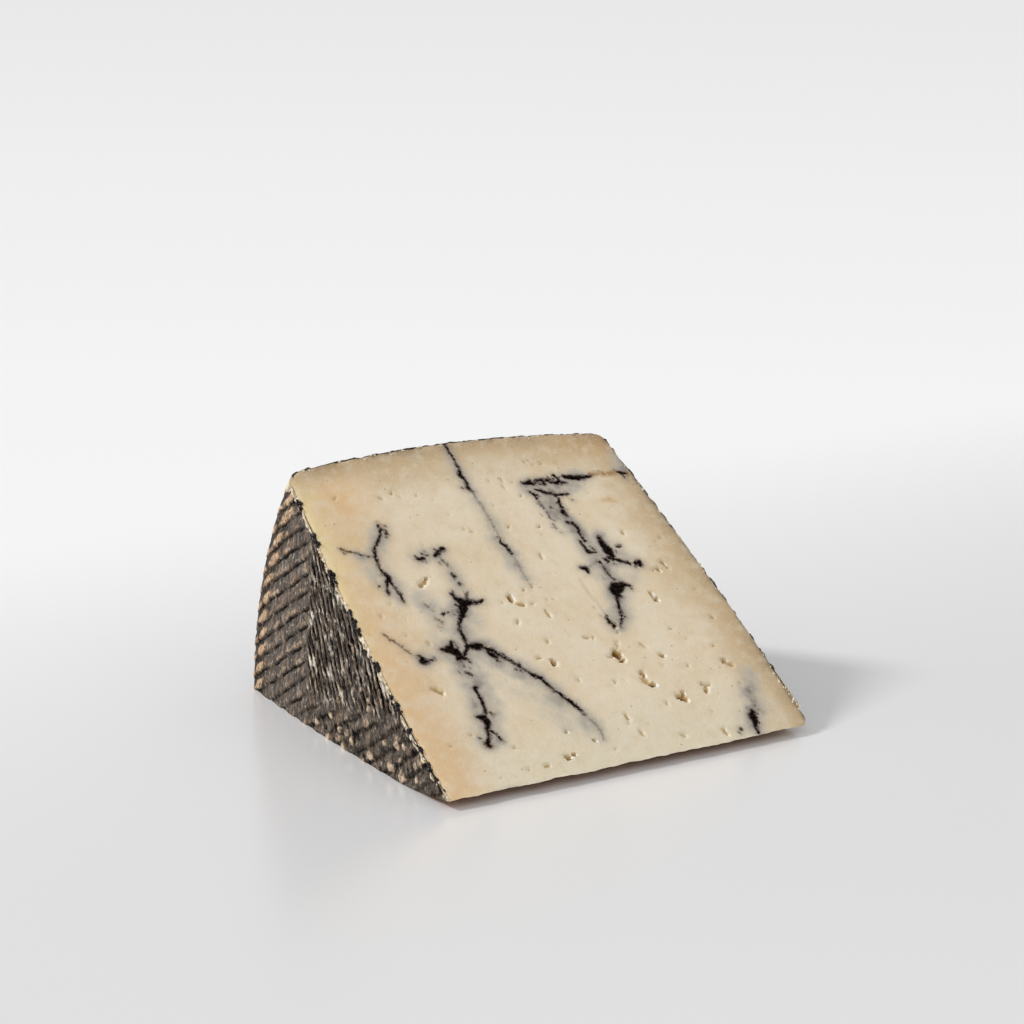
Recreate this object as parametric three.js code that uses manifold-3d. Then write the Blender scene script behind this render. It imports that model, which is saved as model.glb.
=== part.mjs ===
// A wedge of hard sheep's milk cheese with truffle: a tenth of a pressed wheel, laid on one of its cut faces.
// Millimetres, +Z up. X runs along the wheel's axis, Y from the sharp edge out to the wheel's side.
// The origin is on the table, below the middle of the wedge.

import * as THREE from 'three';
import { mergeVertices } from 'three/addons/utils/BufferGeometryUtils.js';
import Module from 'manifold-3d';

// The whole wheel, before it was cut
const WHEEL_RADIUS = 95; // where the side meets the rounded shoulders
const WHEEL_HEIGHT = 100.5; // measured on the axis
const SIDE_BULGE = 3.1; // how far the side swells out at mid height
const FACE_DOME = 5.4; // how much lower a flat face lies at the shoulder than on the axis
const SHOULDER_RADIUS = 3.5;

// The two knife cuts, which meet on the wheel's axis
const UPPER_CUT_ANGLE = 34.5; // degrees above the table
const TIP_LIFT = 2; // the sharp edge stands this far off the table
const TIP_CURL_LENGTH = 25; // the lower cut rises to the sharp edge over this length

// The plaited imprint of the press mould: wheat-ear bands of slanting ridges all over the rind
const RIDGE_DEPTH = 0.7; // from crest to groove
const RIDGES_ROUND_WHEEL = 160;
const PLAIN_RADIUS = 32; // nearer the axis the imprint fades out
const BAND_EDGE_RADIUS = 62; // the slant turns round here on a flat face
const INNER_BAND_RINGS = 10;
const OUTER_BAND_RINGS = 7;
const PLAIN_RINGS = 5;
const SHOULDER_RINGS = 3;
const SIDE_BANDS = 7; // bands across the side, with the slant turned round in each
const RINGS_IN_SIDE_BAND = 3;

// The larger eyes that the knife opened in the upper cut, each as
// [along the axis from the middle, out from the sharp edge, length, width, turn in degrees]
const EYES = [
  [10.5, 29, 4, 2.4, 55],
  [14.5, 20.5, 3.8, 2.2, 115],
  [20.8, 14.2, 3.2, 2, 40],
  [30, 43, 3.4, 1.5, 85],
  [38.2, 21.4, 2.4, 1.6, 150],
  [-7, 49.3, 2.8, 1.4, 80],
  [-6.3, 30, 2.4, 1.6, 120],
  [-38.3, 28, 3, 1.6, 150],
  [-26, 57.7, 3, 1.4, 30],
  [-15.7, 5, 3.4, 1.6, 10],
  [38.3, 51.8, 2, 1.4, 90],
  [28.3, 15.6, 2, 1.2, 45],
];
const EYE_DEPTH = 1.6;

const halfHeight = WHEEL_HEIGHT / 2;
const rimHalfHeight = halfHeight - FACE_DOME;
const radians = THREE.MathUtils.degToRad;

const wasm = await Module();
wasm.setup();

function toSolid(geometry) {
  geometry.deleteAttribute('normal');
  geometry.deleteAttribute('uv');
  const merged = mergeVertices(geometry);
  const triangles = [];
  for (let i = 0; i < merged.index.count; i += 3) {
    const [a, b, c] = [0, 1, 2].map((k) => merged.index.getX(i + k));
    if (a !== b && b !== c && c !== a) triangles.push(a, b, c);
  }
  return new wasm.Manifold(
    new wasm.Mesh({
      numProp: 3,
      vertProperties: merged.attributes.position.array,
      triVerts: new Uint32Array(triangles),
    }),
  );
}

function toGeometry(solid) {
  const { vertProperties, triVerts } = solid.getMesh();
  const geometry = new THREE.BufferGeometry();
  geometry.setAttribute('position', new THREE.BufferAttribute(vertProperties, 3));
  geometry.setIndex(new THREE.BufferAttribute(triVerts, 1));
  geometry.computeVertexNormals();
  return geometry;
}

// Rings of the wheel from the middle of one flat face to mid height: how far out and how far along the axis
// each lies, which way its band slants, and what share of the full depth its ridges have.
function halfWheelRings() {
  const rings = [];
  const face = (radius, slant, share) => {
    const along = FACE_DOME * (radius / WHEEL_RADIUS) ** 2 - halfHeight;
    rings.push({ radius, along, slant, share });
  };
  for (let i = 0; i < PLAIN_RINGS; i++) face((PLAIN_RADIUS * i) / PLAIN_RINGS, 1, 0);
  for (let i = 0; i < INNER_BAND_RINGS; i++) {
    const radius = THREE.MathUtils.lerp(PLAIN_RADIUS, BAND_EDGE_RADIUS, i / INNER_BAND_RINGS);
    face(radius, 1, (i + 1) / INNER_BAND_RINGS);
  }
  const shoulderStart = WHEEL_RADIUS - SHOULDER_RADIUS;
  for (let i = 0; i < OUTER_BAND_RINGS; i++) {
    const radius = THREE.MathUtils.lerp(BAND_EDGE_RADIUS, shoulderStart, i / OUTER_BAND_RINGS);
    face(radius, -1, 1);
  }
  for (let i = 0; i < SHOULDER_RINGS; i++) {
    const turn = ((i / SHOULDER_RINGS) * Math.PI) / 2;
    rings.push({
      radius: shoulderStart + SHOULDER_RADIUS * Math.sin(turn),
      along: SHOULDER_RADIUS * (1 - Math.cos(turn)) - rimHalfHeight,
      slant: -1,
      share: 1,
    });
  }
  const sideHalf = rimHalfHeight - SHOULDER_RADIUS;
  const sideSteps = SIDE_BANDS * RINGS_IN_SIDE_BAND;
  for (let i = 0; i < sideSteps / 2; i++) {
    const along = sideHalf * ((2 * i) / sideSteps - 1);
    const radius = WHEEL_RADIUS + SIDE_BULGE * (1 - (along / sideHalf) ** 2);
    const slant = Math.floor(i / RINGS_IN_SIDE_BAND) % 2 ? -1 : 1;
    rings.push({ radius, along, slant, share: 1 });
  }
  return rings;
}

// The pressed wheel, with its axis along X. Crests and grooves alternate from ring to ring and from column
// to column, and the way that each quad is split joins them into ridges that slant one way or the other.
function wheel() {
  const half = halfWheelRings();
  const mirrored = half.map((ring) => ({ ...ring, along: -ring.along })).reverse();
  const rings = [...half, ...mirrored];
  const columns = 2 * RIDGES_ROUND_WHEEL;
  const profile = rings.map((ring) => new THREE.Vector2(ring.radius, ring.along));
  const geometry = new THREE.LatheGeometry(profile, columns);
  const { position, normal } = geometry.attributes;
  const index = [];
  for (let column = 0; column <= columns; column++) {
    for (let row = 0; row < rings.length; row++) {
      const here = column * rings.length + row;
      const crest = (column + row) % 2 ? 1 : -1;
      const rise = (crest * rings[row].share * RIDGE_DEPTH) / 2;
      const point = new THREE.Vector3().fromBufferAttribute(position, here);
      point.addScaledVector(new THREE.Vector3().fromBufferAttribute(normal, here), rise);
      position.setXYZ(here, point.x, point.y, point.z);
      if (column === columns || row === rings.length - 1) continue;
      const next = here + rings.length;
      if (rings[row].slant > 0) index.push(here, next, here + 1, next + 1, here + 1, next);
      else index.push(here, next, next + 1, here, next + 1, here + 1);
    }
  }
  geometry.setIndex(index);
  const columnAngle = (2 * Math.PI) / columns;
  return toSolid(geometry.rotateZ(-Math.PI / 2).rotateX(radians(UPPER_CUT_ANGLE) + columnAngle / 2));
}

// What the knife leaves of the wheel: the lower cut lies flat and rises a little to the sharp edge.
function cutSector() {
  const reach = 2 * WHEEL_RADIUS;
  const outline = new THREE.Shape();
  outline.moveTo(0, 0);
  outline.quadraticCurveTo(TIP_CURL_LENGTH / 2, -TIP_LIFT, TIP_CURL_LENGTH, -TIP_LIFT);
  outline.lineTo(reach, -TIP_LIFT);
  outline.lineTo(reach, reach * Math.tan(radians(UPPER_CUT_ANGLE)));
  const depth = 2 * WHEEL_HEIGHT;
  const geometry = new THREE.ExtrudeGeometry(outline, { depth, bevelEnabled: false, curveSegments: 6 });
  geometry.translate(0, 0, -depth / 2);
  const along = new THREE.Vector3(1, 0, 0);
  const out = new THREE.Vector3(0, 1, 0);
  const up = new THREE.Vector3(0, 0, 1);
  return toSolid(geometry.applyMatrix4(new THREE.Matrix4().makeBasis(out, up, along)));
}

// One small irregular hole that the knife has opened in the upper cut.
function eye([along, out, length, width, turn]) {
  const geometry = new THREE.SphereGeometry(1, 7, 5);
  geometry.scale(length / 2, width / 2, EYE_DEPTH).rotateZ(radians(turn));
  geometry.translate(along, out, 0).rotateX(radians(UPPER_CUT_ANGLE));
  return toSolid(geometry);
}

let wedge = wheel().intersect(cutSector());
for (const place of EYES) wedge = wedge.subtract(eye(place));

const geometry = toGeometry(wedge);
geometry.computeBoundingBox();
const { min, max } = geometry.boundingBox;
geometry.translate(-(min.x + max.x) / 2, -(min.y + max.y) / 2, -min.z);

const ivory = new THREE.MeshStandardMaterial({ color: 0xd9cbb0, roughness: 0.55, metalness: 0 });
const cheese = new THREE.Mesh(geometry, ivory);
cheese.name = 'cheese_wedge';

const part = new THREE.Group();
part.add(cheese);

export default part;
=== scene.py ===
import math
import random

import bmesh
import bpy
import numpy as np
from mathutils import Matrix, Vector, noise


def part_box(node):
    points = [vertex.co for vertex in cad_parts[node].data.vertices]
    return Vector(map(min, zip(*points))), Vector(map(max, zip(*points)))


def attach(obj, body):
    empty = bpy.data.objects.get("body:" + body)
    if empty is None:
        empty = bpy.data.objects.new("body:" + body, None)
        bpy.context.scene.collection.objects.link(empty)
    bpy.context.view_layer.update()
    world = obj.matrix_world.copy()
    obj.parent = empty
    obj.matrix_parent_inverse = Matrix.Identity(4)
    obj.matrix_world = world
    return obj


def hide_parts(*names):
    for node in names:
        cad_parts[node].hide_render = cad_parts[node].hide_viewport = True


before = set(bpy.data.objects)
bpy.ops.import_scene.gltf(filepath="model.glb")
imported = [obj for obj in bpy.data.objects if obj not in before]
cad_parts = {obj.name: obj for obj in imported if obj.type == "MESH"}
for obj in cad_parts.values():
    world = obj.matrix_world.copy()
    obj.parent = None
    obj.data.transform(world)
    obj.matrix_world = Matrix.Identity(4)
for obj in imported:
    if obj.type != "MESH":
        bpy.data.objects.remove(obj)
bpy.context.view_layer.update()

# The paste: pressed curd of sheep's milk with truffle in it, browner towards the rind. A half section of the
# wheel is swung round its axis, the sharp edge, so that both knife cuts are fine grids, and these are worked
# over for the eyes, veins and torn edges. Lengths are in millimetres from that axis.
wheel_radius = 95.0
wheel_height = 100.5
side_bulge = 3.1
face_dome = 5.4
left_shoulder = 4.2
right_shoulder = 2.4
cut_angle = math.radians(34.5)
tip_lift = 2.0
tip_curl = 25.0
rind_thickness = 0.5
rim_reach = 40.0
rim_width = 120.0
corner_along = 3.6
corner_out = 5.0
tip_low, tip_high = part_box("cheese_wedge")
axis_place = Vector((0.0, tip_low.y, tip_lift / 1000))


def section(side, height, inset):
    """Along and out on the half section: side is -1 to 1 across it, height 0 on the axis to 1 outside."""
    half = wheel_height / 2 - inset
    top = wheel_radius - inset + side_bulge * (1 - side ** 2)
    shoulder = np.where(side < 0, left_shoulder, right_shoulder)
    side_gap = (1 - np.abs(side)) * half
    top_gap = (1 - height) * top
    side_turn = np.clip(1 - side_gap / shoulder, 0, 1)
    top_turn = np.clip(1 - top_gap / shoulder, 0, 1)
    side_gap = side_gap + shoulder * side_turn * (1 - np.sqrt(1 - top_turn ** 2 / 2))
    top_gap = top_gap + shoulder * top_turn * (1 - np.sqrt(1 - side_turn ** 2 / 2))
    out = top - top_gap
    along = np.sign(side) * (half - side_gap) * (1 - face_dome / half * (out / wheel_radius) ** 2)
    return along, out


def drop_to_table(places, inset):
    """Blunts the right end of the sharp edge, and lowers the lying cut, so that this edge stays up.
    A place that lies under the rind's smooth outside by the inset is moved as the outside there is."""
    out = np.hypot(places[:, 1], places[:, 2])
    angle = np.where(out < 0.6, cut_angle, np.arctan2(places[:, 2], np.maximum(places[:, 1], 1e-6)))
    share = np.clip(angle / cut_angle, 0, 1)
    reach = np.clip((places[:, 0] + inset - wheel_height / 2) / corner_along + 1, 0, 1)
    start = corner_out * (1 - np.sqrt(1 - reach ** 2)) * (3 - 2 * share)
    shift = start * np.clip(1 - out / (6 * corner_out), 0, 1)
    places[:, 1] += shift * np.cos(angle)
    places[:, 2] += shift * np.sin(angle)
    reach = np.clip(places[:, 1] / tip_curl, 0, 1)
    places[:, 2] -= tip_lift * (1 - (1 - reach) ** 2) * (1 - share)
    return places


def wobble(places, size, seed):
    """Smooth noise of about -1 to 1 at each place, with swells of the given size."""
    shift = Vector((seed * 17.3, seed * 9.1, seed * 5.7))
    return np.array([noise.noise(Vector(place) / size + shift) for place in places])


def smooth_step(low, high, value):
    share = np.clip((value - low) / (high - low), 0, 1)
    return share * share * (3 - 2 * share)


# Truffle strokes on the upper cut: strength, then points of along from the middle, out, and half width.
truffle_strokes = (
    (1.0, ((0.2, 98.4, 0.25), (-0.1, 94.5, 0.15), (0.2, 92.0, 0.1), (-0.2, 89.5, 0.12), (-0.9, 87.2, 0.45),
           (-0.4, 85.2, 0.12), (-0.8, 82.9, 0.5), (-0.3, 82.0, 0.15))),
    (0.45, ((-0.3, 82.0, 0.15), (-0.2, 76.0, 0.08), (-0.1, 71.5, 0.2), (-0.4, 67.5, 0.1))),
    (0.9, ((-0.5, 67.0, 0.1), (-0.9, 65.5, 0.3), (-0.2, 63.8, 0.15), (0.2, 61.9, 0.25))),
    (0.4, ((0.2, 61.9, 0.15), (-0.1, 58.0, 0.1), (-0.2, 52.5, 0.08))),
    (1.0, ((14.4, 82.2, 0.3), (15.9, 82.1, 0.5), (17.1, 81.5, 0.3))),
    (0.9, ((16.8, 82.8, 0.2), (15.9, 82.1, 0.4))),
    (1.0, ((18.4, 82.3, 0.3), (20.3, 82.4, 0.35), (19.9, 81.1, 0.45))),
    (0.9, ((20.3, 82.3, 0.2), (22.2, 82.2, 0.25))),
    (1.0, ((21.9, 81.4, 0.35), (23.7, 81.0, 0.5), (25.7, 80.6, 0.3))),
    (0.9, ((23.7, 83.2, 0.25), (24.4, 81.9, 0.3))),
    (1.0, ((26.2, 82.5, 0.3), (27.9, 81.9, 0.65), (30.1, 81.4, 0.8), (32.6, 81.4, 0.5), (34.1, 81.6, 0.2))),
    (0.9, ((42.2, 81.5, 0.25), (43.0, 81.0, 0.5), (43.8, 80.8, 0.35), (44.3, 80.6, 0.15))),
    (0.9, ((14.7, 79.4, 0.2), (15.3, 78.4, 0.4), (15.5, 77.0, 0.2))),
    (0.9, ((16.7, 79.8, 0.2), (18.0, 79.1, 0.35), (18.8, 78.2, 0.45), (20.3, 78.0, 0.3), (21.0, 77.4, 0.4))),
    (0.85, ((21.0, 77.1, 0.35), (22.2, 77.4, 0.25), (23.4, 77.1, 0.3), (24.9, 77.1, 0.15))),
    (0.95, ((21.5, 76.2, 0.25), (20.7, 74.7, 0.35), (20.7, 73.0, 0.3), (20.2, 71.8, 0.5),
            (20.7, 70.3, 0.25))),
    (0.9, ((19.6, 68.6, 0.35), (21.0, 68.1, 0.3), (21.6, 67.0, 0.2), (21.4, 64.5, 0.3))),
    (0.9, ((21.3, 63.5, 0.2), (21.4, 62.4, 0.25))),
    (0.9, ((20.1, 62.7, 0.2), (20.0, 60.8, 0.25), (20.1, 59.0, 0.4), (22.2, 58.6, 0.2))),
    (0.7, ((21.7, 60.3, 0.15), (22.4, 59.1, 0.2))),
    (0.8, ((21.4, 55.6, 0.3), (21.6, 55.3, 0.3))),
    (0.7, ((21.8, 53.9, 0.2), (21.9, 52.0, 0.15), (22.5, 49.8, 0.25))),
    (0.6, ((15.5, 75.8, 0.2), (15.8, 73.9, 0.3))),
    (0.6, ((15.9, 72.2, 0.2), (15.9, 70.6, 0.3), (16.4, 70.0, 0.15))),
    (0.6, ((15.7, 69.0, 0.2), (15.6, 67.4, 0.15))),
    (1.0, ((21.0, 45.4, 0.9), (20.8, 46.6, 1.3), (21.7, 47.3, 1.6), (23.2, 47.8, 1.0), (24.4, 48.0, 0.5),
           (25.6, 47.1, 0.2))),
    (0.95, ((20.4, 45.5, 0.45), (19.4, 42.5, 0.2), (18.9, 40.0, 0.3), (17.6, 37.6, 0.25),
            (16.4, 36.2, 0.12))),
    (0.95, ((14.3, 39.3, 0.2), (14.5, 38.0, 0.5), (15.1, 37.0, 0.25))),
    (1.0, ((25.5, 63.0, 0.2), (25.5, 60.9, 0.75), (25.9, 58.7, 1.1), (26.1, 57.0, 0.7))),
    (0.95, ((23.6, 55.9, 0.25), (24.9, 56.3, 0.5), (26.3, 55.8, 0.45), (27.6, 54.7, 0.35),
            (29.3, 53.8, 0.4))),
    (0.8, ((23.7, 55.1, 0.2), (24.6, 55.4, 0.25))),
    (1.0, ((31.2, 53.2, 0.5), (32.2, 53.9, 0.5), (32.2, 52.8, 0.5))),
    (1.0, ((15.7, 54.7, 0.3), (16.8, 54.5, 0.55), (16.8, 53.0, 0.25))),
    (0.45, ((17.0, 54.6, 0.2), (19.5, 55.0, 0.12), (21.3, 55.6, 0.15))),
    (0.8, ((28.8, 59.3, 0.2), (29.7, 59.0, 0.2))),
    (0.8, ((-29.5, 75.8, 0.12), (-29.3, 74.4, 0.35), (-29.9, 73.4, 0.25))),
    (0.7, ((-28.6, 74.2, 0.2), (-28.4, 73.1, 0.25))),
    (0.95, ((-29.9, 73.2, 0.15), (-31.8, 71.2, 0.25), (-33.6, 69.2, 0.2), (-34.6, 66.9, 0.35),
            (-35.1, 64.5, 0.25),
            (-34.9, 62.4, 0.2), (-34.3, 60.6, 0.5), (-34.2, 58.3, 0.2), (-34.1, 55.8, 0.2),
            (-33.8, 53.4, 0.1))),
    (0.9, ((-34.6, 60.2, 0.35), (-35.9, 58.3, 0.2), (-36.7, 56.2, 0.2))),
    (0.7, ((-41.8, 70.6, 0.1), (-39.2, 69.2, 0.15), (-36.8, 67.9, 0.2), (-34.8, 66.8, 0.25))),
    (0.95, ((-24.3, 64.5, 0.3), (-23.5, 64.3, 0.3), (-23.0, 64.6, 0.2))),
    (0.7, ((-22.7, 65.9, 0.2), (-21.3, 65.1, 0.2))),
    (1.0, ((-16.5, 66.4, 0.4), (-17.6, 66.0, 0.4), (-18.9, 65.2, 0.35), (-19.6, 64.8, 0.2))),
    (0.6, ((-19.0, 64.8, 0.2), (-18.3, 63.0, 0.15), (-17.8, 61.4, 0.15))),
    (0.9, ((-18.0, 58.9, 0.3), (-17.9, 58.3, 0.3))),
    (0.9, ((-17.7, 56.1, 0.25), (-17.6, 55.5, 0.25))),
    (1.0, ((-21.1, 53.2, 0.3), (-20.5, 51.6, 0.8), (-19.6, 50.2, 1.1))),
    (0.65, ((-17.0, 53.1, 0.2), (-17.5, 52.3, 0.25), (-18.0, 51.0, 0.4))),
    (0.9, ((-21.8, 50.3, 0.2), (-20.9, 49.5, 0.5))),
    (1.0, ((-19.6, 50.2, 1.0), (-17.9, 50.3, 0.65), (-16.4, 49.9, 0.4), (-14.3, 50.0, 0.12))),
    (1.0, ((-19.6, 50.2, 1.0), (-20.7, 48.7, 1.0), (-21.6, 47.2, 0.75), (-22.7, 46.2, 0.35),
           (-23.9, 44.6, 0.25),
           (-24.5, 42.9, 0.2), (-24.4, 41.0, 0.25), (-24.8, 39.0, 0.3))),
    (1.0, ((-31.7, 38.9, 0.35), (-30.8, 38.3, 0.7), (-29.4, 38.3, 0.95), (-28.7, 37.4, 0.7))),
    (0.95, ((-29.2, 38.6, 0.6), (-28.1, 40.0, 0.3))),
    (1.0, ((-28.8, 35.5, 0.55), (-28.1, 35.3, 0.5), (-27.2, 35.1, 0.2))),
    (0.9, ((-27.2, 35.9, 0.25), (-25.9, 37.3, 0.2), (-25.0, 38.2, 0.4))),
    (0.6, ((-28.7, 34.6, 0.15), (-28.3, 33.4, 0.2))),
    (0.7, ((-28.7, 31.6, 0.2), (-27.8, 30.6, 0.25))),
    (0.95, ((-28.3, 27.0, 0.25), (-29.0, 27.2, 0.4), (-29.0, 25.0, 0.25), (-29.3, 22.5, 0.25),
            (-29.8, 20.3, 0.4))),
    (1.0, ((-32.3, 19.3, 0.35), (-31.0, 18.8, 0.8), (-30.6, 17.8, 0.75), (-31.4, 16.3, 0.4),
           (-32.2, 14.4, 0.25),
           (-33.0, 13.0, 0.4), (-33.7, 12.3, 0.55), (-33.3, 11.6, 0.4))),
    (0.8, ((-31.4, 15.6, 0.15), (-30.4, 14.6, 0.12), (-29.9, 12.2, 0.2))),
    (1.0, ((-25.0, 38.3, 0.5), (-23.9, 38.4, 0.7), (-22.7, 37.8, 0.6), (-21.9, 37.5, 0.25),
           (-21.0, 37.0, 0.2),
           (-19.6, 35.9, 0.5))),
    (1.0, ((-20.5, 35.6, 0.4), (-19.9, 34.6, 0.65), (-19.5, 34.2, 0.4))),
    (1.0, ((-19.5, 36.0, 0.3), (-18.6, 34.7, 0.4), (-17.8, 33.6, 0.25), (-16.8, 32.6, 0.3),
           (-16.0, 31.6, 0.2),
           (-15.0, 30.8, 0.35))),
    (0.9, ((-15.5, 31.0, 0.25), (-14.0, 28.8, 0.15), (-12.9, 27.4, 0.55), (-11.6, 26.4, 0.45),
           (-11.2, 24.6, 0.2),
           (-9.8, 21.8, 0.12), (-8.4, 19.4, 0.35), (-7.3, 17.4, 0.35), (-6.5, 15.8, 0.12))),
    (0.42, ((-6.5, 15.6, 0.2), (-5.5, 12.8, 0.15), (-4.7, 10.0, 0.25), (-5.1, 7.6, 0.15))),
    (0.55, ((-43.2, 45.4, 0.08), (-41.8, 43.2, 0.15), (-40.4, 40.4, 0.2), (-39.0, 38.6, 0.12),
            (-38.0, 38.0, 0.25))),
    (1.0, ((-37.5, 37.9, 0.35), (-37.8, 36.4, 0.55), (-36.9, 36.1, 0.6))),
    (0.8, ((-35.9, 36.5, 0.2), (-35.5, 36.2, 0.2))),
    (0.6, ((-29.5, 52.0, 0.06), (-29.0, 51.1, 0.12), (-28.2, 49.7, 0.06))),
    (0.6, ((-28.0, 46.9, 0.12), (-27.7, 45.8, 0.18))),
    (0.85, ((-26.1, 48.3, 0.28), (-25.0, 48.4, 0.22))),
    (0.35, ((39.8, 13.0, 0.3), (38.9, 9.8, 0.6), (37.6, 6.8, 0.6))),
    (1.0, ((36.6, 6.4, 0.6), (35.8, 5.3, 1.0), (35.6, 4.1, 0.8), (34.9, 2.4, 0.35), (34.4, 0.4, 0.25))),
    (0.7, ((30.6, 2.6, 0.3), (30.5, 2.2, 0.25))),
    (1.0, ((-24.4, 38.4, 0.5), (-22.9, 37.8, 1.0), (-21.6, 38.0, 0.5))),
    (1.0, ((-31.4, 38.5, 0.4), (-29.7, 38.3, 1.1), (-28.4, 37.4, 0.9), (-27.8, 35.8, 0.7))),
)
# Eyes that the knife opened: along, out, length, width, turn in degrees, depth. Some are joined.
eyes = [
    (11.1, 29.0, 3.0, 2.2, 95, 1.9), (12.6, 31.6, 3.0, 0.5, 60, 0.5), (9.0, 28.6, 1.8, 0.9, 170, 0.5),
    (11.6, 27.2, 1.8, 1.0, 20, 1.2), (14.5, 22.4, 2.0, 1.2, 100, 1.0), (14.1, 20.2, 3.0, 1.7, 100, 0.6),
    (15.2, 18.9, 2.2, 1.3, 5, 1.6), (21.6, 15.2, 1.8, 0.9, 70, 1.1), (20.7, 14.1, 2.8, 1.3, 145, 1.4),
    (21.2, 13.3, 1.6, 1.2, 120, 1.2), (28.2, 16.5, 1.7, 0.6, 125, 0.7), (28.3, 14.9, 2.0, 0.8, 70, 0.9),
    (29.4, 16.0, 1.5, 0.5, 10, 0.5), (29.8, 43.8, 2.2, 1.0, 105, 1.1), (30.2, 42.3, 1.8, 1.1, 105, 1.4),
    (37.9, 21.8, 1.9, 1.1, 95, 1.0), (38.8, 20.5, 1.9, 0.8, 165, 0.8), (-7.1, 49.5, 2.9, 1.2, 80, 1.1),
    (-5.4, 47.3, 2.3, 0.9, 170, 0.9), (-2.7, 46.9, 0.8, 0.7, 0, 0.5), (-6.2, 30.0, 1.8, 1.4, 110, 1.2),
    (-9.0, 31.8, 1.4, 0.7, 20, 0.6), (-38.6, 28.6, 2.0, 1.2, 150, 0.8), (-37.6, 27.5, 1.4, 1.1, 130, 1.0),
    (-27.2, 57.3, 1.5, 1.2, 30, 0.8), (-26.0, 58.0, 1.6, 0.9, 50, 0.7), (-25.2, 58.7, 0.9, 0.8, 60, 1.1),
    (-16.4, 4.8, 1.8, 1.2, 160, 1.0), (-14.6, 5.2, 1.6, 0.8, 20, 0.8), (-22.4, 3.6, 1.5, 0.7, 150, 0.7),
    (-7.7, 7.7, 1.0, 0.8, 0, 1.2), (38.4, 52.4, 1.4, 0.8, 105, 0.9), (38.7, 51.2, 1.5, 0.6, 120, 0.7),
    (36.1, 50.6, 1.9, 0.7, 95, 0.7), (3.7, 11.9, 2.2, 0.8, 105, 0.8), (22.4, 26.4, 1.8, 0.9, 0, 0.9),
    (42.2, 34.2, 1.4, 0.7, 120, 0.7), (32.9, 63.1, 1.2, 0.7, 120, 0.6), (41.9, 59.6, 0.9, 0.6, 120, 0.5),
    (29.3, 59.1, 1.1, 0.7, 20, 0.7), (-2.5, 51.2, 0.8, 0.6, 0, 0.6), (3.5, 47.2, 0.7, 0.6, 0, 0.5),
    (-0.2, 43.4, 3.0, 0.7, 95, 0.7), (3.5, 70.2, 0.7, 0.6, 0, 0.6), (11.7, 68.7, 0.8, 0.6, 90, 0.7),
    (3.9, 60.9, 1.6, 0.4, 100, 0.5), (7.3, 60.0, 1.8, 0.5, 95, 0.5), (22.5, 87.5, 0.8, 0.5, 120, 0.5),
    (20.3, 87.5, 0.6, 0.5, 0, 0.4), (19.4, 88.9, 0.6, 0.5, 0, 0.4), (11.7, 78.8, 0.8, 0.5, 100, 0.5),
    (9.4, 84.2, 1.6, 0.6, 80, 0.4), (8.6, 82.0, 1.8, 0.6, 110, 0.4), (-21.3, 84.7, 1.2, 0.7, 60, 0.4),
    (-24.8, 83.6, 1.7, 0.6, 130, 0.4), (-19.7, 83.0, 0.9, 0.6, 100, 0.4), (5.1, 7.0, 2.3, 0.7, 95, 0.5),
    (26.4, 2.8, 3.2, 0.8, 92, 0.5), (19.2, 30.0, 2.2, 0.6, 110, 0.5), (6.1, 21.6, 1.2, 0.8, 60, 0.4),
    (5.9, 35.0, 1.7, 0.9, 160, 0.5), (29.3, 33.2, 1.3, 0.7, 150, 0.4), (15.9, 13.4, 1.4, 0.7, 120, 0.4),
    (15.2, 4.0, 1.8, 0.9, 120, 0.4), (-2.7, 24.1, 1.1, 0.7, 100, 0.4), (-13.4, 11.0, 0.8, 0.6, 30, 0.8),
    (-9.0, 42.6, 1.7, 0.6, 60, 0.5), (-4.4, 36.0, 1.5, 0.6, 120, 0.5), (14.8, 36.6, 1.2, 0.9, 60, 0.7),
]
small_eyes = random.Random(11)
for number in range(90):
    eye_length = small_eyes.uniform(0.5, 1.5)
    eyes.append((small_eyes.uniform(-44, 45), 93 * small_eyes.random() ** 1.2, eye_length,
                 small_eyes.uniform(0.35, 0.6), small_eyes.uniform(40, 150), 0.12 + 0.18 * eye_length))
# Truffle dust near the strokes
dust_places = random.Random(5)
truffle_dust = []
for force, points in truffle_strokes:
    for dust_along, dust_out, wide in points:
        if force > 0.5 and dust_places.random() < 0.45:
            away = Vector((dust_places.gauss(0, 0.8), dust_places.gauss(0, 0.8)))
            dot = (dust_along + away.x, dust_out + away.y, dust_places.uniform(0.05, 0.2))
            truffle_dust.append((0.8 * force, (dot, (dot[0] + 0.2, dot[1] - 0.3, 0.1))))
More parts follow.
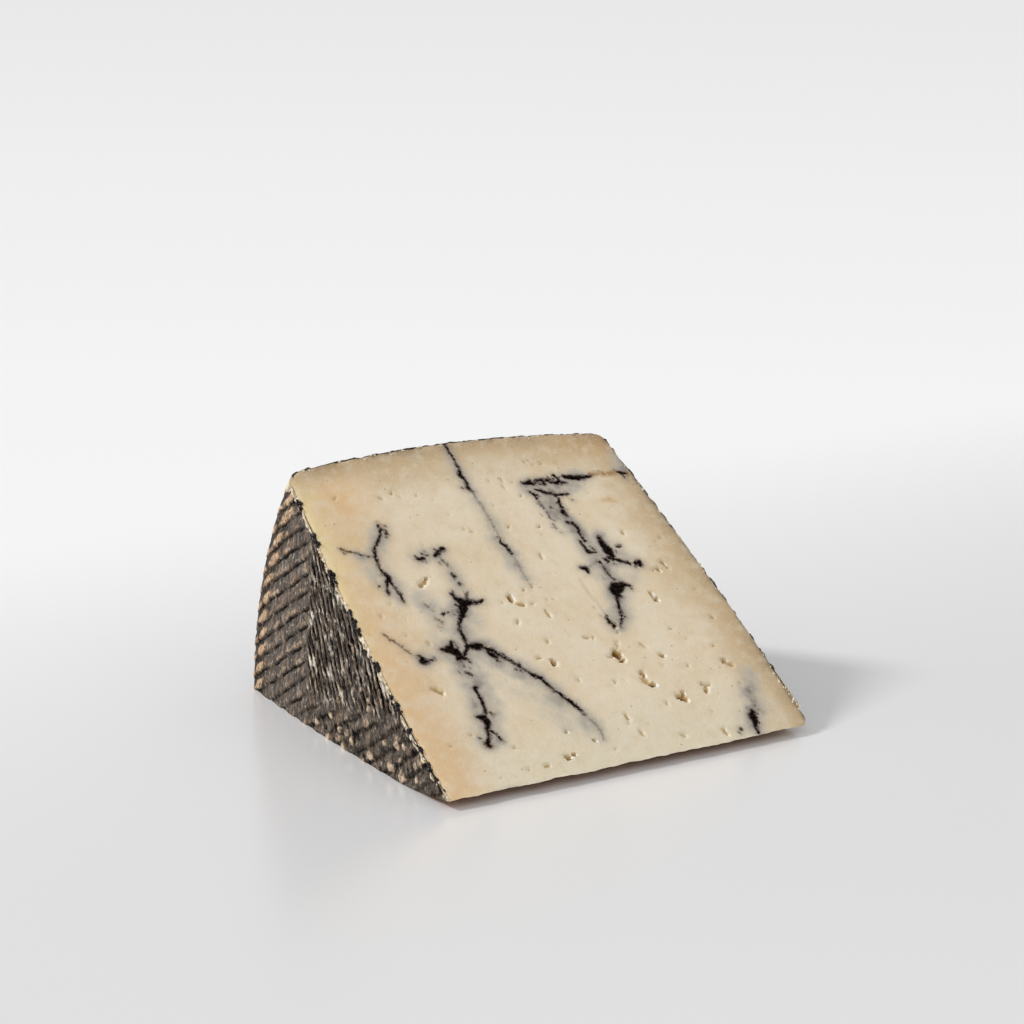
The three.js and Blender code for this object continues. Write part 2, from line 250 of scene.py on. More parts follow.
# Rusty streaks: strength, then points of along, out and half width
rust_strokes = (
    (1.0, ((34.1, 81.9, 0.5), (36.4, 81.8, 0.75), (38.8, 81.6, 0.7), (41.8, 81.4, 0.7))),
    (0.9, ((44.1, 80.7, 0.5), (45.7, 80.5, 0.55))),
    (0.3, ((32.9, 73.5, 0.3), (34.8, 73.6, 0.7), (36.0, 72.6, 0.4))),
    (0.7, ((-34.3, 12.8, 0.3), (-33.8, 11.7, 0.4), (-33.0, 11.2, 0.3))),
    (0.8, ((14.3, 37.4, 0.4), (14.9, 36.4, 0.5))),
    (0.35, ((13.5, 51.5, 0.15), (13.5, 47.0, 0.2), (14.2, 43.0, 0.15), (14.7, 39.5, 0.2))),
    (0.6, ((-29.2, 77.0, 0.2), (-28.4, 76.0, 0.2), (-28.3, 73.4, 0.2))),
    (0.6, ((-42.6, 71.0, 0.15), (-39.6, 69.5, 0.2))),
    (0.6, ((-43.6, 45.8, 0.15), (-41.6, 43.0, 0.2))),
    (0.5, ((-32.2, 38.6, 0.2), (-31.4, 37.8, 0.2))),
    (0.4, ((-28.0, 45.5, 0.2), (-28.6, 48.0, 0.2))),
    (0.5, ((-33.9, 53.4, 0.2), (-33.5, 52.0, 0.15))),
    (0.35, ((38.8, 6.4, 0.5), (39.4, 5.6, 0.4))),
)
# Grey smears where truffle juice has spread: the same again
smear_strokes = (
    (0.85, ((15.0, 80.5, 1.0), (19.0, 79.5, 1.6), (24.0, 79.5, 1.4), (30.0, 81.5, 1.0))),
    (0.6, ((25.5, 62.5, 1.5), (25.5, 57.0, 2.2), (29.5, 53.5, 1.6))),
    (0.8, ((17.5, 77.0, 1.6), (18.5, 73.0, 1.8), (20.5, 67.0, 1.4), (21.5, 60.0, 1.6), (21.5, 52.0, 1.6),
            (21.5, 47.0, 1.6), (18.5, 40.0, 1.2), (16.0, 37.0, 0.8))),
    (0.45, ((0.0, 94.0, 0.4), (-0.8, 85.0, 1.0), (-0.2, 73.0, 0.9), (-0.4, 64.0, 1.0), (-0.1, 54.0, 0.6))),
    (0.5, ((-29.8, 74.0, 1.2), (-33.6, 68.5, 1.4), (-34.8, 61.0, 1.6), (-34.4, 55.0, 0.8))),
    (0.45, ((-24.0, 64.6, 1.0), (-18.5, 65.0, 1.4), (-17.8, 58.0, 1.2), (-18.5, 52.0, 1.2))),
    (0.75, ((-19.5, 50.5, 1.6), (-23.0, 46.5, 2.0), (-24.6, 41.0, 1.8), (-26.5, 37.0, 2.6))),
    (0.8, ((-30.5, 38.0, 1.6), (-28.2, 34.5, 2.4), (-28.0, 27.0, 2.4), (-30.0, 19.0, 2.2),
           (-32.5, 13.0, 1.6))),
    (0.6, ((-25.0, 38.0, 1.8), (-20.0, 34.0, 2.2), (-14.5, 28.0, 2.0), (-9.5, 19.5, 1.8), (-6.0, 11.0, 1.4))),
    (0.3, ((-24.0, 33.0, 2.0), (-20.0, 26.0, 2.5), (-12.0, 15.0, 3.0), (-6.0, 9.0, 1.5))),
    (0.35, ((-29.5, 53.0, 1.0), (-28.0, 46.0, 1.4), (-31.0, 40.0, 1.4), (-37.5, 37.0, 1.2))),
    (0.8, ((41.4, 17.0, 0.6), (39.8, 12.5, 1.2), (37.8, 7.5, 1.6), (35.0, 3.0, 1.4))),
    (0.22, ((37.0, 12.0, 1.5), (33.5, 5.0, 2.0), (30.5, 2.5, 1.2))),
    (1.0, ((45.2, 86.0, 0.4), (44.6, 83.8, 0.8), (44.0, 82.4, 0.6))),
    (0.75, ((-1.2, 66.0, 0.9), (-0.6, 61.0, 0.8), (-0.2, 55.0, 0.4))),
    (0.6, ((-38.0, 66.5, 1.0), (-35.6, 61.0, 1.6), (-34.0, 57.0, 1.4))),
    (0.85, ((-29.0, 38.5, 1.6), (-26.0, 37.0, 2.2), (-21.0, 36.5, 2.0))),
    (0.5, ((-29.0, 53.0, 1.8), (-27.5, 45.0, 1.8))),
    (0.4, ((-19.5, 52.0, 1.6), (-19.0, 44.0, 1.6))),
    (0.5, ((21.0, 62.0, 1.8), (22.0, 57.0, 1.8))),
    (0.3, ((27.5, 54.0, 2.0), (27.0, 50.5, 1.8))),
)


def stroke_depth(strokes, along, out, reach):
    """How deep each place lies in a stroke, less than 0 outside it, its strength and the stain round it."""
    depth = np.full(len(along), -9.0)
    strength = np.zeros(len(along))
    stain = np.zeros(len(along))
    for force, points in strokes:
        for (along_a, out_a, wide_a), (along_b, out_b, wide_b) in zip(points, points[1:]):
            step_along, step_out = along_b - along_a, out_b - out_a
            share = (along - along_a) * step_along + (out - out_a) * step_out
            share = np.clip(share / (step_along ** 2 + step_out ** 2), 0, 1)
            gap = np.hypot(along - along_a - share * step_along, out - out_a - share * step_out)
            wide = wide_a + share * (wide_b - wide_a)
            strength = np.where(wide - gap > depth, force, strength)
            depth = np.maximum(depth, wide - gap)
            stain = np.maximum(stain, force * np.exp(-(np.maximum(gap - wide, 0) / reach) ** 1.3))
    return depth, strength, stain


def eye_depth(along, out, ragged):
    """How deep the eyes go at each place, with ragged outlines."""
    deep = np.zeros(len(along))
    for eye_along, eye_out, length, width, turn, depth in eyes:
        turn = math.radians(turn)
        lengthwise = (along - eye_along) * math.cos(turn) + (out - eye_out) * math.sin(turn)
        crosswise = (out - eye_out) * math.cos(turn) - (along - eye_along) * math.sin(turn)
        gap = np.hypot(lengthwise / length, crosswise / width) * 2 * (1 + 0.3 * ragged)
        deep = np.maximum(deep, depth * (1 - smooth_step(0.65, 1.12, gap)))
    return deep


truffle_marks = truffle_strokes + tuple(truffle_dust)
paste_cells = 156
paste_swing_steps = 6
paste_bm = bmesh.new()
bmesh.ops.create_grid(paste_bm, x_segments=paste_cells, y_segments=paste_cells, size=1.0)
corners = np.array([vert.co for vert in paste_bm.verts])
along, out = section(corners[:, 0], (corners[:, 1] + 1) / 2, rind_thickness)
for vert, vert_along, vert_out in zip(paste_bm.verts, along, out):
    vert.co = (vert_along, vert_out, 0)
bmesh.ops.rotate(paste_bm, verts=paste_bm.verts, cent=(0, 0, 0), matrix=Matrix.Rotation(cut_angle, 3, "X"))
bmesh.ops.spin(paste_bm, geom=paste_bm.verts[:] + paste_bm.edges[:] + paste_bm.faces[:], cent=(0, 0, 0),
               axis=(1, 0, 0), angle=-cut_angle, steps=paste_swing_steps)
bmesh.ops.remove_doubles(paste_bm, verts=paste_bm.verts, dist=1e-4)
bmesh.ops.recalc_face_normals(paste_bm, faces=paste_bm.faces)
# Finer cells where the upper cut has veins and eyes, and finer again inside them
for reach in (0.9, 0.3):
    corners = np.array([vert.co for vert in paste_bm.verts])
    along, out = corners[:, 0], np.hypot(corners[:, 1], corners[:, 2])
    upper = np.arctan2(corners[:, 2], corners[:, 1]) > cut_angle - 1e-4
    depth, strength = stroke_depth(truffle_marks, along, out, 1.0)[:2]
    fine = upper & (((depth > -reach) & (strength > 0.3)) | (eye_depth(along, out, -0.25 - 0.3 * reach) > 0))
    paste_bm.verts.index_update()
    fine_edges = [edge for edge in paste_bm.edges if all(fine[vert.index] for vert in edge.verts)]
    bmesh.ops.subdivide_edges(paste_bm, edges=fine_edges, cuts=1, use_grid_fill=True)


def finish_mesh(made, name):
    mesh = bpy.data.meshes.new(name)
    made.to_mesh(mesh)
    made.free()
    return mesh


paste_mesh = finish_mesh(paste_bm, "cheese_paste")


def add_layer(mesh, name, kind, values):
    """Writes one value, vector or colour for each vertex, for the material to read."""
    word = {"FLOAT": "value", "FLOAT_VECTOR": "vector", "FLOAT_COLOR": "color"}[kind]
    mesh.attributes.new(name, kind, "POINT").data.foreach_set(word, values.ravel())


def put_in_scene(name, mesh):
    piece = bpy.data.objects.new(name, mesh)
    bpy.context.scene.collection.objects.link(piece)
    return piece


def mesh_places(mesh):
    places = np.empty(len(mesh.vertices) * 3)
    mesh.vertices.foreach_get("co", places)
    return places.reshape(-1, 3)


def settle(mesh, places, inset=0.0):
    """Puts places, in millimetres round the wheel's axis, into a mesh in metres in the part's frame."""
    placed = drop_to_table(places.copy(), inset) / 1000 + np.array(axis_place)
    mesh.vertices.foreach_set("co", placed.ravel())
    mesh.polygons.foreach_set("use_smooth", [True] * len(mesh.polygons))
    mesh.update()


def paste_half(out):
    """Half the wheel's height at a distance from the axis, inside the rind."""
    half = wheel_height / 2
    return (half - rind_thickness) * (1 - face_dome / half * (out / wheel_radius) ** 2)


places = mesh_places(paste_mesh)
along = places[:, 0]
out = np.hypot(places[:, 1], places[:, 2])
angle = np.arctan2(places[:, 2], np.maximum(places[:, 1], 1e-6))
on_upper = (angle > cut_angle - 1e-4) | (out < 1e-3)
on_lower = (angle < 1e-4) & ~on_upper
on_side = ~on_upper & ~on_lower
half_here = paste_half(out)
top_here = wheel_radius - rind_thickness + side_bulge * (1 - (along / half_here) ** 2)
rind_gap = np.maximum(np.minimum(half_here - np.abs(along), top_here - out), 0)
# The hidden cut is finished like the one that shows, the other way round.
mark_along = np.where(on_lower, -along, along)
flat = np.stack([mark_along, out, np.where(on_lower, 40.0, 0.0)], axis=1)
ragged = wobble(flat, 1.0, 1) * 0.7 + wobble(flat, 0.45, 2) * 0.35
jitter_along = 0.24 * wobble(flat, 1.1, 3) + 0.3 * wobble(flat, 4.0, 4)
jitter_out = 0.24 * wobble(flat, 1.1, 5) + 0.3 * wobble(flat, 4.0, 6)
depth, strength, stain = stroke_depth(truffle_marks, mark_along + jitter_along, out + jitter_out, 0.9)
depth += 0.2 * ragged + 0.12 * wobble(flat, 2.3, 15)
smear = stroke_depth(smear_strokes, mark_along + jitter_along, out + jitter_out, 1.9)[2]
smear[on_side] = 0
rust_depth, rust_strength = stroke_depth(rust_strokes, mark_along + jitter_along, out + jitter_out, 0.4)[:2]
rust = np.where(on_side, 0, rust_strength * smooth_step(-0.5, 0.1, rust_depth + 0.2 * ragged))
pit = eye_depth(mark_along, out, ragged)
pit[on_side] = 0
# Painted highlight: a pale rim on the lower right side of each eye, where it would catch the light.
shine = eye_depth(mark_along - 0.55, out + 0.5, ragged) - 2 * pit
shine = np.where(on_side, 0, np.clip(shine * (0.6 + ragged), 0, 1))
# Work the cuts: slow waves of the knife, eyes, sunken veins, and a chipped edge against the rind.
wave = 0.16 * wobble(flat, 22, 7) + 0.05 * wobble(flat, 6, 8) + 0.03 * wobble(flat, 1.5, 13)
chip = np.clip(1 - rind_gap / 1.2, 0, 1) ** 2 * (0.15 + 0.5 * np.abs(wobble(flat, 1.7, 9)))
sunk = (0.1 + 0.12 * ragged) * smooth_step(-0.15, 0.3, depth) * strength
lift = wave * np.clip(out / 6, 0, 1) - pit * (1 + 0.2 * ragged) - chip - sunk
face_up = np.array([0.0, -math.sin(cut_angle), math.cos(cut_angle)])
places[on_upper] += lift[on_upper, None] * face_up
places[on_lower, 2] -= lift[on_lower] * 0.5 - 0.1
tip_row = out < 1e-3
places[tip_row, 2] += 0.25 * wobble(flat[tip_row], 9, 10) + 0.16 * wobble(flat[tip_row], 1.6, 11)
places[tip_row, 1] += 0.35 * wobble(flat[tip_row], 5, 12) + 0.2 * wobble(flat[tip_row], 1.3, 14)
settle(paste_mesh, places, np.where(on_upper, 0.0, rind_thickness))
paste_mesh.set_sharp_from_angle(angle=math.radians(50))
marks = np.stack([0.5 + np.clip(depth, -2, 2) / 4, strength, stain, np.clip(pit / 1.2, 0, 1)], axis=1)
marks[on_side] = (0, 0, 0, 0)
rim = np.stack([rind_gap / rim_reach, np.clip(along / rim_width + 0.5, 0, 1), out / 100,
                np.where(on_side, 1.0, 0.0)], axis=1)
left_bruise = np.exp(-((mark_along + 34) / 6.5) ** 2 - ((out - 84.5) / 7) ** 2)
right_bruise = np.exp(-((mark_along - 34.8) / 1.6) ** 2 - ((out - 73.4) / 1.0) ** 2)
add_layer(paste_mesh, "marks", "FLOAT_COLOR", marks)
add_layer(paste_mesh, "rim", "FLOAT_COLOR", rim)
paste_layers = {"smear": smear, "rust": rust, "shine": shine, "bruise": np.maximum(left_bruise, right_bruise),
                "under": np.where(on_lower, 1.0, 0.0)}
for name, values in paste_layers.items():
    add_layer(paste_mesh, name, "FLOAT", values)
paste = put_in_scene("cheese_paste", paste_mesh)


def paint(red, green, blue):
    """A colour as seen on screen, 0 to 255, as the linear colour that a shader takes."""
    shares = [value / 255 for value in (red, green, blue)]
    return [s / 12.92 if s <= 0.04045 else ((s + 0.055) / 1.055) ** 2.4 for s in shares] + [1.0]


def add_node(tree, kind, sockets=None, **settings):
    made = tree.nodes.new(kind)
    for name, value in settings.items():
        setattr(made, name, value)
    for name, value in (sockets or {}).items():
        if isinstance(value, bpy.types.NodeSocket):
            tree.links.new(value, made.inputs[name])
        else:
            made.inputs[name].default_value = value
    return made


def speckle(tree, size, detail=2.0, rough=0.5, where=None):
    """Noise with spots of about the given size in millimetres, on the piece's coordinates or given ones."""
    if where is None:
        where = add_node(tree, "ShaderNodeTexCoord").outputs["Object"]
        size = size / 1000
    sockets = {"Vector": where, "Scale": 1 / size, "Detail": detail, "Roughness": rough}
    return add_node(tree, "ShaderNodeTexNoise", sockets).outputs["Fac"]


def ramp(tree, value, low, high, from_value=0.0, to_value=1.0):
    sockets = {"Value": value, "From Min": low, "From Max": high, "To Min": from_value, "To Max": to_value}
    return add_node(tree, "ShaderNodeMapRange", sockets, interpolation_type="SMOOTHSTEP").outputs["Result"]


def blend(tree, share, first, second, way="MIX"):
    made = add_node(tree, "ShaderNodeMix", {0: share, 6: first, 7: second}, data_type="RGBA", blend_type=way)
    return made.outputs[2]


def figure(tree, way, first, second):
    return add_node(tree, "ShaderNodeMath", {0: first, 1: second}, operation=way).outputs["Value"]


def times(tree, first, second):
    return figure(tree, "MULTIPLY", first, second)


def plus(tree, first, second):
    return figure(tree, "ADD", first, second)


def less(tree, first, second):
    return figure(tree, "SUBTRACT", first, second)


def layer_node(tree, name):
    return add_node(tree, "ShaderNodeAttribute", attribute_name=name)


def new_material(name):
    material = bpy.data.materials.new(name)
    material.use_nodes = True
    return material, material.node_tree, material.node_tree.nodes["Principled BSDF"]


paste_look, tree, shader = new_material("cheese_paste")
ivory = paint(242, 221, 186)
cream = paint(247, 230, 201)
pale_tip = paint(240, 228, 200)
tan = paint(214, 186, 143)
orange = paint(243, 207, 156)
yellow = paint(250, 225, 168)
peach = paint(236, 196, 150)
deep_tan = paint(206, 168, 116)
bruise_orange = paint(240, 200, 146)
brown_edge = paint(118, 92, 64)
pale_crumb = paint(246, 238, 220)
painted_highlight_white = paint(252, 247, 236)
cool_grey = paint(197, 190, 176)
stain_grey = paint(128, 116, 111)
ink_grey = paint(72, 61, 58)
truffle_black = paint(3, 2, 2)
truffle_brown = paint(74, 47, 32)
truffle_rust = paint(44, 27, 18)
eye_yellow = paint(214, 183, 124)
eye_brown = paint(146, 100, 42)
rust_brown = paint(170, 128, 70)
# Painted light: a strong orange brown for the hidden underside by the sharp edge, to warm the shade beneath
# it
painted_glow_brown = paint(176, 112, 10)
mark = layer_node(tree, "marks")
mark_parts = add_node(tree, "ShaderNodeSeparateColor", {"Color": mark.outputs["Color"]})
rim_node = layer_node(tree, "rim")
rim_parts = add_node(tree, "ShaderNodeSeparateColor", {"Color": rim_node.outputs["Color"]})
under_node = layer_node(tree, "under")
rind_distance = times(tree, rim_parts.outputs["Red"], rim_reach)
paste_where = add_node(tree, "ShaderNodeTexCoord").outputs["Object"]
cloudy = speckle(tree, 14, 3, 0.55)
mottle = speckle(tree, 3.0, 4, 0.62)
grain = speckle(tree, 0.8, 3, 0.6)
fine_grain = speckle(tree, 0.35, 2, 0.6)
colour = blend(tree, ramp(tree, cloudy, 0.35, 0.65), ivory, cream)
colour = blend(tree, ramp(tree, rim_parts.outputs["Blue"], 0.02, 0.22, 0.7, 0.0), colour, pale_tip)
wander = plus(tree, rind_distance, times(tree, less(tree, cloudy, 0.5), 14.0))
left_share = ramp(tree, rim_parts.outputs["Green"], 0.1, 0.32, 1.0, 0.0)
top_share = ramp(tree, rim_parts.outputs["Blue"], 0.84, 0.94)
left_tone = blend(tree, ramp(tree, wander, 2.0, 8.0), yellow, orange)
left_tone = blend(tree, ramp(tree, rim_parts.outputs["Blue"], 0.3, 0.8, 0.75, 0.0), left_tone, peach)
below_top = less(tree, 1.0, top_share)
edge_tan = blend(tree, times(tree, left_share, below_top), tan, left_tone)
colour = blend(tree, ramp(tree, wander, 2.0, 17.0, 0.9, 0.0), colour, edge_tan)
far_corner = times(tree, top_share, ramp(tree, rim_parts.outputs["Green"], 0.68, 0.86, 0.0, 0.8))
colour = blend(tree, far_corner, colour, deep_tan)
bruise_node = layer_node(tree, "bruise")
colour = blend(tree, times(tree, bruise_node.outputs["Fac"], 0.85), colour, bruise_orange)
left_edge = ramp(tree, rim_parts.outputs["Green"], 0.13, 0.2, 0.08, 1.0)
wide_edge = ramp(tree, rind_distance, -1.0, 6.0, 0.36, 0.0)
sharp_edge = ramp(tree, rind_distance, 0.0, 1.8, 0.24, 0.0)
edge_patches = times(tree, left_edge, ramp(tree, speckle(tree, 8, 3, 0.6), 0.35, 0.65, 0.5, 1.4))
edge_share = times(tree, plus(tree, wide_edge, sharp_edge), edge_patches)
colour = blend(tree, edge_share, colour, brown_edge)
colour = blend(tree, ramp(tree, mottle, 0.45, 0.72, 0.0, 0.3), colour, pale_crumb)
colour = blend(tree, ramp(tree, mottle, 0.28, 0.48, 0.22, 0.0), colour, tan)
colour = blend(tree, ramp(tree, fine_grain, 0.58, 0.72, 0.0, 0.5), colour, pale_crumb)
colour = blend(tree, ramp(tree, fine_grain, 0.26, 0.4, 0.35, 0.0), colour, tan)
pinpricks = add_node(tree, "ShaderNodeTexVoronoi", {"Vector": paste_where, "Scale": 450.0})
pinprick = ramp(tree, pinpricks.outputs["Distance"], 0.07, 0.15, 0.5, 0.0)
picked = add_node(tree, "ShaderNodeSeparateColor", {"Color": pinpricks.outputs["Color"]})
picked = ramp(tree, picked.outputs["Red"], 0.7, 0.9)
colour = blend(tree, times(tree, pinprick, picked), colour, eye_brown)
smear_node = layer_node(tree, "smear")
smear_patches = ramp(tree, speckle(tree, 4.5, 2, 0.5), 0.35, 0.65, 0.55, 1.0)
smear_patches = times(tree, smear_patches, ramp(tree, mottle, 0.35, 0.6, 0.65, 1.1))
smear_share = times(tree, smear_node.outputs["Fac"], smear_patches)
colour = blend(tree, ramp(tree, smear_share, 0.0, 0.5, 0.0, 0.8), colour, cool_grey)
colour = blend(tree, ramp(tree, smear_share, 0.4, 0.9, 0.0, 0.6), colour, stain_grey)
stain_share = times(tree, mark_parts.outputs["Blue"], ramp(tree, grain, 0.3, 0.6, 0.45, 0.75))
colour = blend(tree, stain_share, colour, stain_grey)
ink_share = times(tree, mark_parts.outputs["Blue"], ramp(tree, mottle, 0.35, 0.6, 0.75, 1.0))
colour = blend(tree, ramp(tree, ink_share, 0.5, 0.95, 0.0, 0.65), colour, ink_grey)
colour = blend(tree, ramp(tree, mark.outputs["Alpha"], 0.05, 0.45, 0.0, 0.85), colour, eye_yellow)
colour = blend(tree, ramp(tree, mark.outputs["Alpha"], 0.5, 1.0, 0.0, 0.95), colour, eye_brown)
# Painted highlight: the pale rims beside the eyes.
shine_node = layer_node(tree, "shine")
colour = blend(tree, ramp(tree, shine_node.outputs["Fac"], 0.1, 0.5, 0.0, 0.7), colour, painted_highlight_white)
rust_node = layer_node(tree, "rust")
rust_share = times(tree, rust_node.outputs["Fac"], ramp(tree, grain, 0.35, 0.6, 0.4, 0.9))
colour = blend(tree, rust_share, colour, rust_brown)
inside = times(tree, less(tree, mark_parts.outputs["Red"], 0.5), 4.0)
frayed = plus(tree, inside, times(tree, less(tree, grain, 0.5), 1.6))
frayed = plus(tree, frayed, times(tree, less(tree, fine_grain, 0.5), 1.1))
vein_force = mark_parts.outputs["Green"]
broken = ramp(tree, speckle(tree, 1.7, 2, 0.5), 0.36, 0.58, 0.3, 1.0)
soft_vein = times(tree, ramp(tree, frayed, -0.45, 0.05), times(tree, vein_force, broken))
hard_vein = times(tree, ramp(tree, frayed, -0.08, 0.14), ramp(tree, vein_force, 0.4, 0.85))
colour = blend(tree, times(tree, soft_vein, 0.85), colour, truffle_brown)
truffle = blend(tree, ramp(tree, fine_grain, 0.48, 0.64, 0.0, 0.9), truffle_black, truffle_rust)
colour = blend(tree, hard_vein, colour, truffle)
colour = blend(tree, times(tree, rim_node.outputs["Alpha"], 0.85), colour, pale_crumb)
# Painted light: near the sharp edge the hidden lower cut is coloured orange brown, so that the shade under
# the raised edge and its reflection in the floor look warm, like light shining through the thin paste.
near_tip = ramp(tree, rim_parts.outputs["Blue"], 0.05, 0.35, 0.95, 0.0)
painted_glow_share = times(tree, under_node.outputs["Fac"], near_tip)
painted_glow_share = times(tree, painted_glow_share, ramp(tree, rim_parts.outputs["Green"], 0.84, 0.9, 1.0, 0.0))
colour = blend(tree, painted_glow_share, colour, painted_glow_brown)
tree.links.new(colour, shader.inputs["Base Color"])
tree.links.new(ramp(tree, mottle, 0.3, 0.7, 0.38, 0.58), shader.inputs["Roughness"])
glint = ramp(tree, fine_grain, 0.58, 0.7, 0.02, 0.4)
specular = add_node(tree, "ShaderNodeMix", {0: hard_vein, 2: 0.42, 3: glint}).outputs[0]
tree.links.new(specular, shader.inputs["Specular IOR Level"])
shader.inputs["Subsurface Weight"].default_value = 0.12
shader.inputs["Subsurface Radius"].default_value = (1.0, 0.7, 0.4)
shader.inputs["Subsurface Scale"].default_value = 0.002
relief = plus(tree, times(tree, mottle, 0.5), times(tree, grain, 0.3))
relief = plus(tree, relief, times(tree, fine_grain, 0.22))
relief = plus(tree, relief, times(tree, times(tree, grain, hard_vein), 0.9))
bump = add_node(tree, "ShaderNodeBump", {"Height": relief, "Strength": 0.55, "Distance": 0.0004})
tree.links.new(bump.outputs["Normal"], shader.inputs["Normal"])
paste_mesh.materials.append(paste_look)
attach(paste, "root")
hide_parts("cheese_wedge")

# The rind: a dry charcoal coat with the plaited imprint of the press mould, its crests worn to straw colour.
# A thin strip along the outline of the half section is swung round the axis, and its outer face is pressed
# into ridges. Along the upper cut the knife has torn it back a little, so that pale paste shows.
rind_flat_cells = (300, 180, 190)
rind_back_cells = (15, 15, 15)
rind_swing_steps = 132
ridge_pitch = 3.42
ridge_relief = 0.6
groove_depth = 0.42
ridge_start = 2.38
ridge_slant = math.radians(151)
straw_slant = math.radians(74)
line_slant = math.radians(60)
line_pitch = 1.9
plait_band = 12.0
rim_knots_out = 88.6
# Rows of lumps on the left edge: middle of the row out from the sharp edge, length, and bite into the cut
lump_rows = ((85.0, 2.8, 1.0), (74.5, 3.8, 1.2), (63.0, 4.6, 1.2), (51.5, 4.6, 1.4), (47.4, 1.4, 0.6),
             (37.5, 3.2, 1.4), (29.0, 0.7, 0.4), (25.6, 3.2, 1.7), (19.6, 1.0, 0.7), (14.2, 1.2, 0.9),
             (9.4, 2.0, 1.2), (6.0, 1.0, 1.0), (3.4, 2.0, 0.8))
# Round bumps low on the flat faces: in from the sharp edge, height over it, half length and half height
nodules = ((44.5, 0.4, 1.7, 1.1), (32.3, 1.9, 1.8, 1.1), (35.4, -0.1, 1.2, 0.8), (26.2, 6.3, 1.1, 1.0),
           (20.7, 7.3, 1.7, 1.1), (23.3, 2.2, 1.7, 1.2), (19.4, 4.4, 0.8, 0.7), (18.4, 1.0, 1.9, 1.2),
           (12.4, 2.0, 0.9, 1.3), (40.8, 2.8, 1.4, 1.2), (46.3, 3.7, 1.6, 1.0), (17.9, 7.4, 0.9, 0.9),
           (13.0, 4.6, 1.1, 0.9), (38.6, 16.2, 1.0, 0.8), (36.6, 15.2, 1.1, 0.9), (33.6, 13.4, 0.9, 0.8),
           (33.4, 11.9, 1.0, 0.8), (52.0, 0.6, 1.5, 1.0), (57.5, 2.4, 1.6, 1.1), (50.4, 5.6, 1.3, 0.9))


def outline(left_cells, over_cells, right_cells):
    """Side and height along the outline of the half section: up one flat face, over, and down the other."""
    way = np.concatenate([np.linspace(0, 1, left_cells, endpoint=False),
                          np.linspace(1, 2, over_cells, endpoint=False), np.linspace(2, 3, right_cells)])
    return np.clip((way - 1) * 2 - 1, -1, 1), np.clip(np.minimum(way, 3 - way), 0, 1)


rind_bm = bmesh.new()
outer_layer = rind_bm.verts.layers.float.new("outer")
along_tilt = rind_bm.verts.layers.float.new("along_tilt")
out_tilt = rind_bm.verts.layers.float.new("out_tilt")
ring = []
along, out = section(*outline(*rind_flat_cells), 0.0)
tilt = np.stack([-np.gradient(out), np.gradient(along)], axis=1)
tilt /= np.linalg.norm(tilt, axis=1)[:, None]
for vert_along, vert_out, (tilt_along, tilt_out) in zip(along, out, tilt):
    vert = rind_bm.verts.new((vert_along, vert_out, 0))
    vert[outer_layer] = 1
    vert[along_tilt] = tilt_along
    vert[out_tilt] = tilt_out
    ring.append(vert)
along, out = section(*outline(*rind_back_cells), rind_thickness)
for vert_along, vert_out in zip(along[::-1], out[::-1]):
    ring.append(rind_bm.verts.new((vert_along, vert_out, 0)))
rind_bm.faces.new(ring)
bmesh.ops.rotate(rind_bm, verts=rind_bm.verts, cent=(0, 0, 0), matrix=Matrix.Rotation(cut_angle, 3, "X"))
bmesh.ops.spin(rind_bm, geom=rind_bm.verts[:] + rind_bm.edges[:] + rind_bm.faces[:], cent=(0, 0, 0),
               axis=(1, 0, 0), angle=-cut_angle, steps=rind_swing_steps)
bmesh.ops.remove_doubles(rind_bm, verts=rind_bm.verts, dist=1e-4)
bmesh.ops.recalc_face_normals(rind_bm, faces=rind_bm.faces)
rind_mesh = finish_mesh(rind_bm, "cheese_rind")


def layer_values(mesh, name):
    values = np.empty(len(mesh.vertices))
    mesh.attributes[name].data.foreach_get("value", values)
    return values


def shingles(across, pitch):
    """Overlapping ridges, steep at the foot: height, nearness of the foot, worn crest, row, share across."""
    row = np.floor(across / pitch)
    share = across / pitch - row
    height = smooth_step(0.0, 0.24, share) * (1 - 0.7 * smooth_step(0.3, 1.0, share))
    foot = 1 - smooth_step(0.05, 0.2, share) + smooth_step(0.95, 1.0, share)
    crest = smooth_step(0.08, 0.22, share) * (1 - smooth_step(0.36, 0.62, share))
    return height, np.clip(foot, 0, 1), crest, row, share


def luck(rows, along, length, seed):
    """Smooth noise of about -1 to 1 along each row, different from row to row."""
    return wobble(np.stack([along / length, rows * 3.7, along * 0], axis=1), 1.0, seed)


def turned(face_y, face_z, slant):
    """Across and along a direction on a flat face of the wheel."""
    across = math.sin(slant) * face_y - math.cos(slant) * face_z
    return across, math.cos(slant) * face_y + math.sin(slant) * face_z


places = mesh_places(rind_mesh)
outer = layer_values(rind_mesh, "outer")
tilts = np.stack([layer_values(rind_mesh, "along_tilt"), layer_values(rind_mesh, "out_tilt")], axis=1)
along = places[:, 0]
out = np.hypot(places[:, 1], places[:, 2])
angle = np.arctan2(places[:, 2], np.maximum(places[:, 1], 1e-6))
face_y = places[:, 1] + 0.4 * wobble(places, 7, 21) + 0.2 * wobble(places, 2.2, 22)
face_z = places[:, 2] + 0.4 * wobble(places, 7, 23) + 0.2 * wobble(places, 2.2, 24)
on_wall = smooth_step(0.5, 0.8, tilts[:, 1])
rough = wobble(places, 1.1, 25)
fine_rough = wobble(places, 0.6, 26)
patches = wobble(places, 4.0, 34)
gap_to_cut = (cut_angle - angle) * out
